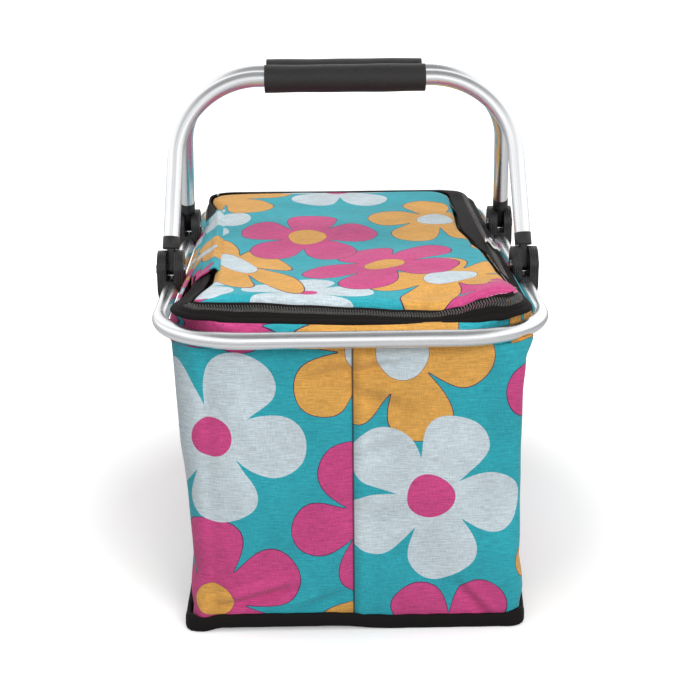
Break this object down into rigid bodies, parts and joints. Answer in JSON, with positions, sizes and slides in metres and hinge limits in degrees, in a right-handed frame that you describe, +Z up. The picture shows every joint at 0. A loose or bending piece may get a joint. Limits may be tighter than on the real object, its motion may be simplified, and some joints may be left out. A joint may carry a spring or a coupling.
{
  "type": "folding insulated shopping basket",
  "caption": "Folding insulated basket: a printed soft bag hung in a bare metal tube rim, with a zipped padded lid and fold-down tube handles with dark grips.",
  "frame": {"origin": "on the ground, under the middle of the basket", "axes": "+Z up, +Y along the basket's length, +X towards the side that the zip's slider is on; the lid turns up about its -X edge"},
  "size_m": [0.2964, 0.464, 0.3891],
  "materials": {
    "aluminium": "satin, bare tube",
    "black_plastic": "moulded, finely grained",
    "grip_foam": "soft, finely ribbed",
    "printed_fabric": "woven, printed with simple flowers",
    "foam": "closed-cell foam sheet",
    "lining": "smooth, slightly shiny",
    "black_fabric": "woven tape and binding",
    "zip_nylon": "nylon coil",
    "stiff_board": "stiff board",
    "bright_metal": "bright, plated"
  },
  "bodies": {
    "frame": {"rim_tube": "aluminium", "rim_splice": "aluminium", "bracket_near_left": "black_plastic", "bracket_near_right": "black_plastic", "bracket_far_left": "black_plastic", "bracket_far_right": "black_plastic", "pivot_pins": "black_plastic", "bracket_screws": "bright_metal", "wall_left": "printed_fabric", "wall_right": "printed_fabric", "wall_foam": "foam", "wall_lining": "lining", "rim_collar": "printed_fabric", "zip_lower_tape": "black_fabric", "zip_lower_coil": "zip_nylon", "zip_end_near": "black_fabric", "zip_end_far": "black_fabric", "lid_fold": "printed_fabric"},
    "handle_near": {"handle_tube_near": "aluminium", "grip_near": "grip_foam", "knuckle_near_left": "black_plastic", "knuckle_near_right": "black_plastic"},
    "handle_far": {"handle_tube_far": "aluminium", "grip_far": "grip_foam", "knuckle_far_left": "black_plastic", "knuckle_far_right": "black_plastic"},
    "lid": {"lid_outer": "printed_fabric", "lid_foam": "foam", "lid_lining": "lining", "zip_upper_tape": "black_fabric", "zip_upper_coil": "zip_nylon"},
    "slider": {"zip_slider": "bright_metal"},
    "pull": {"zip_pull": "bright_metal"},
    "base": {"base_panel": "black_fabric", "base_board": "stiff_board", "base_lining": "lining", "base_binding": "black_fabric"}
  },
  "joints": [
    {"name": "handle_near_fold", "type": "hinge", "parent": "frame", "child": "handle_near", "pos_m": [0, -0.078, 0.24], "axis": [1, 0, 0], "range_deg": [-4.4, 110.7]},
    {"name": "handle_far_fold", "type": "hinge", "parent": "frame", "child": "handle_far", "pos_m": [0, 0.078, 0.24], "axis": [-1, 0, 0], "range_deg": [-4.4, 110.7]},
    {"name": "lid_open", "type": "hinge", "parent": "frame", "child": "lid", "pos_m": [-0.11294, 0, 0.24305], "axis": [0, -1, 0], "range_deg": [0, 31]},
    {"name": "zip_slide", "type": "slide", "parent": "lid", "child": "slider", "axis": [0, 1, 0], "range_m": [-0.125, 0.135]},
    {"name": "pull_flip", "type": "hinge", "parent": "slider", "child": "pull", "pos_m": [0.11871, -0.0093, 0.24347], "axis": [-0.8613, -0.1045, 0.4973], "range_deg": [0, 140]},
    {"name": "base_collapse", "type": "slide", "parent": "frame", "child": "base", "axis": [0, 0, -1], "range_m": [-0.17, 0], "deforming": ["wall_left", "wall_right", "wall_foam", "wall_lining"]}
  ]
}
